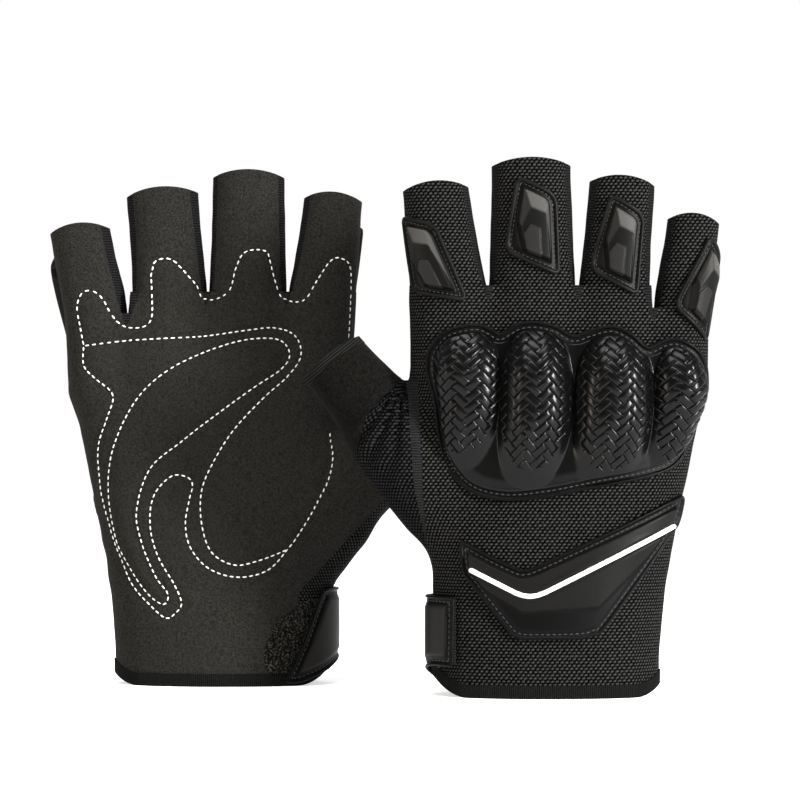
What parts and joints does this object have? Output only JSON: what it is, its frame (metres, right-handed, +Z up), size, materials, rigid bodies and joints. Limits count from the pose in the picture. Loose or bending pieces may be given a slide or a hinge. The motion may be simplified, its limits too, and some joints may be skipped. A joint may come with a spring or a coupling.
{
  "type": "riding gloves",
  "caption": "Pair of fingerless riding gloves with a hard knuckle guard, finger guards and a wrist strap, standing on their cuffs.",
  "frame": {"origin": "middle of the pair's footprint, at the height the hems stand on", "axes": "+X across the pair from the rear glove to the front glove, +Y from the front glove to the rear glove, +Z up towards the fingers"},
  "size_m": [0.2318, 0.111, 0.1791],
  "materials": {
    "mesh_fabric": "coarse knitted mesh, matt",
    "microfibre": "sueded, brown-black",
    "lining": "brushed jersey",
    "foam": "closed-cell foam",
    "binding": "woven elastic tape",
    "rubber": "moulded, satin",
    "hard_shell": "gloss with a woven relief",
    "reflective": "silver-white reflective tape",
    "knit": "ribbed stretch knit",
    "loop_pile": "brushed loops",
    "hook_tape": "moulded hooks"
  },
  "bodies": {
    "front_hand": {"front_back_panel": "mesh_fabric", "front_palm_panel": "microfibre", "front_palm_lining": "lining", "front_palm_pads": "foam", "front_cuff_binding": "binding", "front_knuckle_flange": "rubber", "front_knuckle_foam": "foam", "front_knuckle_shell": "hard_shell", "front_chevron_guard": "rubber", "front_reflective_strip": "reflective", "front_finger_webs": "knit", "front_thumb_gusset": "knit", "front_loop_patch": "loop_pile"},
    "front_index": {"front_index_back": "mesh_fabric", "front_index_front": "microfibre", "front_index_guard": "rubber"},
    "front_middle": {"front_middle_back": "mesh_fabric", "front_middle_front": "microfibre", "front_middle_guard": "rubber"},
    "front_ring": {"front_ring_back": "mesh_fabric", "front_ring_front": "microfibre", "front_ring_guard": "rubber"},
    "front_little": {"front_little_back": "mesh_fabric", "front_little_front": "microfibre", "front_little_guard": "rubber"},
    "front_thumb": {"front_thumb_stall": "microfibre"},
    "front_strap": {"front_hook_patch": "hook_tape", "front_strap": "knit", "front_strap_cover": "rubber"},
    "rear_hand": {"rear_back_panel": "mesh_fabric", "rear_palm_panel": "microfibre", "rear_palm_lining": "lining", "rear_palm_pads": "foam", "rear_cuff_binding": "binding", "rear_knuckle_flange": "rubber", "rear_knuckle_foam": "foam", "rear_knuckle_shell": "hard_shell", "rear_chevron_guard": "rubber", "rear_reflective_strip": "reflective", "rear_finger_webs": "knit", "rear_thumb_gusset": "knit", "rear_loop_patch": "loop_pile"},
    "rear_index": {"rear_index_back": "mesh_fabric", "rear_index_front": "microfibre", "rear_index_guard": "rubber"},
    "rear_middle": {"rear_middle_back": "mesh_fabric", "rear_middle_front": "microfibre", "rear_middle_guard": "rubber"},
    "rear_ring": {"rear_ring_back": "mesh_fabric", "rear_ring_front": "microfibre", "rear_ring_guard": "rubber"},
    "rear_little": {"rear_little_back": "mesh_fabric", "rear_little_front": "microfibre", "rear_little_guard": "rubber"},
    "rear_thumb": {"rear_thumb_stall": "microfibre"},
    "rear_strap": {"rear_hook_patch": "hook_tape", "rear_strap": "knit", "rear_strap_cover": "rubber"}
  },
  "joints": [
    {"name": "front_index_flex", "type": "hinge", "parent": "front_hand", "child": "front_index", "pos_m": [0.0222, -0.025, 0.1325], "axis": [-1, 0, 0], "range_deg": [0, 45], "stiffness_Nm_per_rad": 0.03},
    {"name": "front_middle_flex", "type": "hinge", "parent": "front_hand", "child": "front_middle", "pos_m": [0.0501, -0.025, 0.1325], "axis": [-1, 0, 0], "range_deg": [0, 45], "stiffness_Nm_per_rad": 0.03},
    {"name": "front_ring_flex", "type": "hinge", "parent": "front_hand", "child": "front_ring", "pos_m": [0.078, -0.025, 0.1325], "axis": [-1, 0, 0], "range_deg": [0, 45], "stiffness_Nm_per_rad": 0.03},
    {"name": "front_little_flex", "type": "hinge", "parent": "front_hand", "child": "front_little", "pos_m": [0.1013, -0.025, 0.1245], "axis": [-1, 0, 0], "range_deg": [0, 45], "stiffness_Nm_per_rad": 0.03},
    {"name": "front_thumb_flex", "type": "hinge", "parent": "front_hand", "child": "front_thumb", "pos_m": [0.00168, -0.0186, 0.09316], "axis": [-0.515, 0, -0.8572], "range_deg": [0, 30], "stiffness_Nm_per_rad": 0.03},
    {"name": "front_strap_open", "type": "hinge", "parent": "front_hand", "child": "front_strap", "pos_m": [0.0262, -0.0462, 0.0215], "axis": [0, 0, 1], "range_deg": [0, 100]},
    {"name": "rear_index_flex", "type": "hinge", "parent": "rear_hand", "child": "rear_index", "pos_m": [-0.0222, 0.025, 0.1325], "axis": [1, 0, 0], "range_deg": [0, 45], "stiffness_Nm_per_rad": 0.03},
    {"name": "rear_middle_flex", "type": "hinge", "parent": "rear_hand", "child": "rear_middle", "pos_m": [-0.0501, 0.025, 0.1325], "axis": [1, 0, 0], "range_deg": [0, 45], "stiffness_Nm_per_rad": 0.03},
    {"name": "rear_ring_flex", "type": "hinge", "parent": "rear_hand", "child": "rear_ring", "pos_m": [-0.078, 0.025, 0.1325], "axis": [1, 0, 0], "range_deg": [0, 45], "stiffness_Nm_per_rad": 0.03},
    {"name": "rear_little_flex", "type": "hinge", "parent": "rear_hand", "child": "rear_little", "pos_m": [-0.1013, 0.025, 0.1245], "axis": [1, 0, 0], "range_deg": [0, 45], "stiffness_Nm_per_rad": 0.03},
    {"name": "rear_thumb_flex", "type": "hinge", "parent": "rear_hand", "child": "rear_thumb", "pos_m": [0.00628, 0.0186, 0.08279], "axis": [0.0698, 0, -0.9976], "range_deg": [0, 30], "stiffness_Nm_per_rad": 0.03},
    {"name": "rear_strap_open", "type": "hinge", "parent": "rear_hand", "child": "rear_strap", "pos_m": [-0.0262, 0.0462, 0.0215], "axis": [0, 0, 1], "range_deg": [0, 100]},
    {"name": "front_glove_lift", "type": "slide", "parent": "rear_hand", "child": "front_hand", "axis": [0, 0, 1], "range_m": [0, 0.25]}
  ]
}
